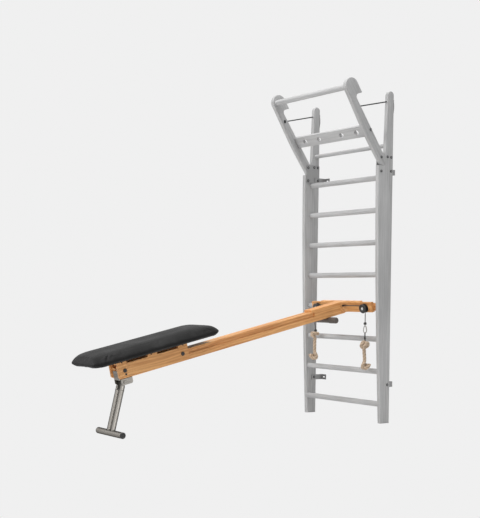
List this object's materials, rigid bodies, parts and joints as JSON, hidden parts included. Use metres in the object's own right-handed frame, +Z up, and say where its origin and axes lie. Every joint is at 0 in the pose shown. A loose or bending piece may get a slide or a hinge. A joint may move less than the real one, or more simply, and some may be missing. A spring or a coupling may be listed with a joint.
{
  "type": "wall bars with a sliding bench",
  "caption": "Grey wooden wall bars with a leaning pull-up frame and a sloping wooden bench hooked over a rung, with a padded rolling carriage, rope pulleys and a folding leg.",
  "frame": {"origin": "on the floor, midway between the posts, and midway between the wall and the low end of the pad", "axes": "+X along the rungs to the right seen from the front, +Y towards the wall, +Z up"},
  "size_m": [0.7766, 2.1281, 2.2187],
  "materials": {
    "grey_wood": "grey stained, satin",
    "light_wood": "clear varnish, satin",
    "dark_steel": "dark grey, matte",
    "steel": "satin",
    "grip_sleeve": "matte foam",
    "black_plastic": "matte",
    "black_leather": "fine grain, satin",
    "dark_rope": "braided",
    "natural_rope": "twisted rope"
  },
  "bodies": {
    "wall_frame": {"arm_left": "grey_wood", "arm_right": "grey_wood", "cross_board": "grey_wood", "plate_left": "dark_steel", "plate_right": "dark_steel", "post_left": "grey_wood", "post_right": "grey_wood", "rung_1": "grey_wood", "rung_2": "grey_wood", "rung_3": "grey_wood", "rung_4": "grey_wood", "rung_5": "grey_wood", "rung_6": "grey_wood", "rung_7": "grey_wood", "rung_8": "grey_wood", "rung_9": "grey_wood", "tie_rod_left": "steel", "tie_rod_right": "steel", "top_bar": "grey_wood", "wall_bracket_lower_left": "dark_steel", "wall_bracket_lower_right": "dark_steel", "wall_bracket_upper_left": "dark_steel", "wall_bracket_upper_right": "dark_steel"},
    "bench": {"rail_left": "light_wood", "rail_right": "light_wood", "head_crossbar": "light_wood", "head_board": "light_wood", "hook_left": "light_wood", "hook_right": "light_wood", "under_grip": "grip_sleeve", "pulley_block_left": "black_plastic", "pulley_block_right": "black_plastic", "rope_left": "dark_rope", "rope_right": "dark_rope", "leg_shoe": "steel"},
    "leg": {"leg_pin": "steel", "leg_frame": "steel", "foot_bar": "steel", "foot_cap_left": "black_plastic", "foot_cap_right": "black_plastic"},
    "carriage": {"cheek_left": "light_wood", "cheek_right": "light_wood", "slat_low": "light_wood", "slat_middle": "light_wood", "slat_high": "light_wood", "pad_board": "light_wood", "pad": "black_leather"},
    "sheave_left": {"pulley_wheel_left": "black_plastic"},
    "sheave_right": {"pulley_wheel_right": "black_plastic"},
    "hanging_left": {"rope_drop_left": "dark_rope", "handle_left": "natural_rope"},
    "hanging_right": {"rope_drop_right": "dark_rope", "clip_right": "steel"},
    "swivel_right": {"handle_right": "natural_rope"},
    "roller_low_left": {"wheel_low_left": "black_plastic"},
    "roller_low_right": {"wheel_low_right": "black_plastic"},
    "roller_high_left": {"wheel_high_left": "black_plastic"},
    "roller_high_right": {"wheel_high_right": "black_plastic"}
  },
  "joints": [
    {"name": "bench_tilt", "type": "hinge", "parent": "wall_frame", "child": "bench", "pos_m": [0.03, 0.94, 0.762], "axis": [-1, 0, 0], "range_deg": [0, 25]},
    {"name": "leg_fold", "type": "hinge", "parent": "bench", "child": "leg", "pos_m": [0.03, -0.80358, 0.31172], "axis": [1, 0, 0], "range_deg": [0, 110]},
    {"name": "carriage_slide", "type": "slide", "parent": "bench", "child": "carriage", "axis": [0, 0.9751, 0.2215], "range_m": [0, 0.9]},
    {"name": "roller_low_left_spin", "type": "hinge", "parent": "carriage", "child": "roller_low_left", "pos_m": [-0.014, -0.81053, 0.37844], "axis": [1, 0, 0], "continuous": true},
    {"name": "roller_low_right_spin", "type": "hinge", "parent": "carriage", "child": "roller_low_right", "pos_m": [0.074, -0.81053, 0.37844], "axis": [1, 0, 0], "continuous": true},
    {"name": "roller_high_left_spin", "type": "hinge", "parent": "carriage", "child": "roller_high_left", "pos_m": [-0.014, -0.41657, 0.46795], "axis": [1, 0, 0], "continuous": true},
    {"name": "roller_high_right_spin", "type": "hinge", "parent": "carriage", "child": "roller_high_right", "pos_m": [0.074, -0.41657, 0.46795], "axis": [1, 0, 0], "continuous": true},
    {"name": "sheave_left_spin", "type": "hinge", "parent": "bench", "child": "sheave_left", "pos_m": [-0.204, 0.87847, 0.74956], "axis": [0, 0.9751, 0.2215], "continuous": true},
    {"name": "hanging_left_swing", "type": "hinge", "parent": "bench", "child": "hanging_left", "pos_m": [-0.222, 0.87847, 0.71856], "axis": [-1, 0, 0], "range_deg": [0, 75]},
    {"name": "sheave_right_spin", "type": "hinge", "parent": "bench", "child": "sheave_right", "pos_m": [0.264, 0.87847, 0.74956], "axis": [0, 0.9751, 0.2215], "continuous": true},
    {"name": "hanging_right_swing", "type": "hinge", "parent": "bench", "child": "hanging_right", "pos_m": [0.282, 0.87847, 0.71856], "axis": [-1, 0, 0], "range_deg": [0, 75]},
    {"name": "handle_right_swivel", "type": "hinge", "parent": "hanging_right", "child": "swivel_right", "pos_m": [0.282, 0.87847, 0.51856], "axis": [0, 0, 1], "continuous": true}
  ],
  "couplings": [
    {"joint": "roller_low_left_spin", "follows": "carriage_slide", "rad_per_m": -76.336},
    {"joint": "roller_low_right_spin", "follows": "carriage_slide", "rad_per_m": -76.336},
    {"joint": "roller_high_left_spin", "follows": "carriage_slide", "rad_per_m": -76.336},
    {"joint": "roller_high_right_spin", "follows": "carriage_slide", "rad_per_m": -76.336},
    {"joint": "sheave_left_spin", "follows": "carriage_slide", "rad_per_m": -55.556},
    {"joint": "sheave_right_spin", "follows": "carriage_slide", "rad_per_m": 55.556}
  ]
}
